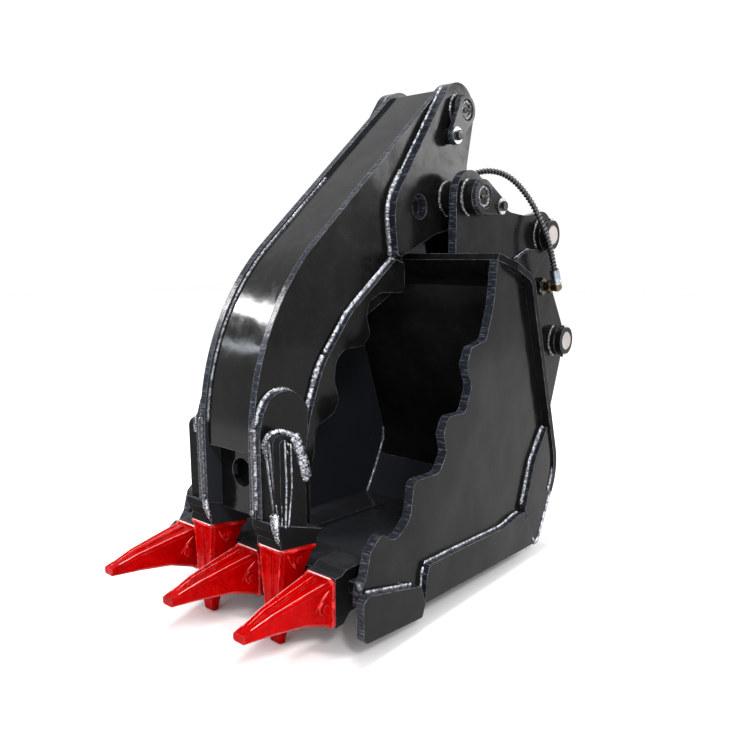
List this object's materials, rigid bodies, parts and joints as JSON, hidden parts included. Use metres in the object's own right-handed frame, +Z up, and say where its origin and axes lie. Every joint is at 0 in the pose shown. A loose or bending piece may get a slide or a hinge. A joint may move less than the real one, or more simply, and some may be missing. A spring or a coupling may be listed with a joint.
{
  "type": "excavator bucket with thumb",
  "caption": "Excavator bucket with a hydraulic gripping thumb hinged between its ears, scalloped side plates, bolt-free pinned teeth and removable mounting pins.",
  "frame": {"origin": "axis of the stick pin, midway between the ears", "axes": "X along the mounting pins across the bucket, Y towards the back of the ears with the teeth at minus Y, Z up with the bucket floor level"},
  "size_m": [0.474, 0.989, 0.8995],
  "materials": {
    "black_paint": "gloss black enamel over welded plate",
    "red_paint": "red enamel on cast teeth",
    "dark_steel": "dark oiled steel",
    "ground_steel": "ground steel",
    "zinc_plate": "bright zinc plate",
    "yellow_zinc": "yellow passivated fitting",
    "hose_rubber": "hose in a spiral plastic guard",
    "hard_chrome": "hard chromed rod"
  },
  "bodies": {
    "bucket": {"back_plate": "black_paint", "bucket_adapters": "black_paint", "bucket_tooth_left": "red_paint", "bucket_tooth_middle": "red_paint", "bucket_tooth_pins": "dark_steel", "bucket_tooth_right": "red_paint", "bulkhead_fitting": "zinc_plate", "cutting_edge": "black_paint", "cylinder_base_lugs": "black_paint", "cylinder_base_pin": "ground_steel", "ear_doublers": "black_paint", "floor_plate": "black_paint", "floor_wear_bars": "black_paint", "front_blocks": "black_paint", "heel_plates": "black_paint", "hose": "hose_rubber", "hose_crimp": "zinc_plate", "hose_elbow": "yellow_zinc", "left_ear": "black_paint", "left_side_plate": "black_paint", "mount_pin_bosses": "black_paint", "mount_pin_bushings": "ground_steel", "pivot_bosses": "black_paint", "pivot_flag_bolt": "zinc_plate", "pivot_pin": "ground_steel", "pivot_pin_flag": "black_paint", "right_ear": "black_paint", "right_side_plate": "black_paint", "wear_strips": "black_paint"},
    "thumb": {"grip_plates": "black_paint", "left_thumb_wall": "black_paint", "pivot_plates": "black_paint", "right_thumb_wall": "black_paint", "rod_flag_bolt": "zinc_plate", "rod_pin": "ground_steel", "rod_pin_bosses": "black_paint", "rod_pin_flag": "black_paint", "rod_pin_spacers": "ground_steel", "thumb_adapters": "black_paint", "thumb_foot_pads": "black_paint", "thumb_front_cover": "black_paint", "thumb_hub_bosses": "black_paint", "thumb_hub_bushings": "ground_steel", "thumb_lower_panel": "black_paint", "thumb_rear_liner": "black_paint", "thumb_teeth": "red_paint", "thumb_tooth_pins": "dark_steel"},
    "cylinder_barrel": {"cylinder_barrel": "black_paint", "cylinder_gland": "black_paint", "cylinder_ports": "black_paint"},
    "cylinder_rod": {"piston": "dark_steel", "piston_rod": "hard_chrome", "rod_eye": "black_paint"},
    "stick_pin": {"stick_pin": "ground_steel", "stick_pin_collar": "black_paint", "stick_pin_cross_bolt": "zinc_plate"},
    "link_pin": {"link_pin": "ground_steel", "link_pin_collar": "black_paint", "link_pin_cross_bolt": "zinc_plate"}
  },
  "joints": [
    {"name": "thumb_pivot", "type": "hinge", "parent": "bucket", "child": "thumb", "pos_m": [0, -0.276, 0.062], "axis": [-1, 0, 0], "range_deg": [0, 45]},
    {"name": "cylinder_swing", "type": "hinge", "parent": "bucket", "child": "cylinder_barrel", "pos_m": [0, -0.148, -0.121], "axis": [-1, 0, 0], "range_deg": [0, 17.6]},
    {"name": "rod_stroke", "type": "slide", "parent": "cylinder_barrel", "child": "cylinder_rod", "axis": [0, 0.2806, -0.9598], "range_m": [0, 0.0775]},
    {"name": "stick_pin_draw", "type": "slide", "parent": "bucket", "child": "stick_pin", "axis": [1, 0, 0], "range_m": [0, 0.48]},
    {"name": "link_pin_draw", "type": "slide", "parent": "bucket", "child": "link_pin", "axis": [1, 0, 0], "range_m": [0, 0.48]}
  ],
  "couplings": [
    {"joint": "cylinder_swing", "follows": "thumb_pivot", "ratio": 0.3879},
    {"joint": "rod_stroke", "follows": "thumb_pivot", "m_per_rad": 0.0976}
  ]
}
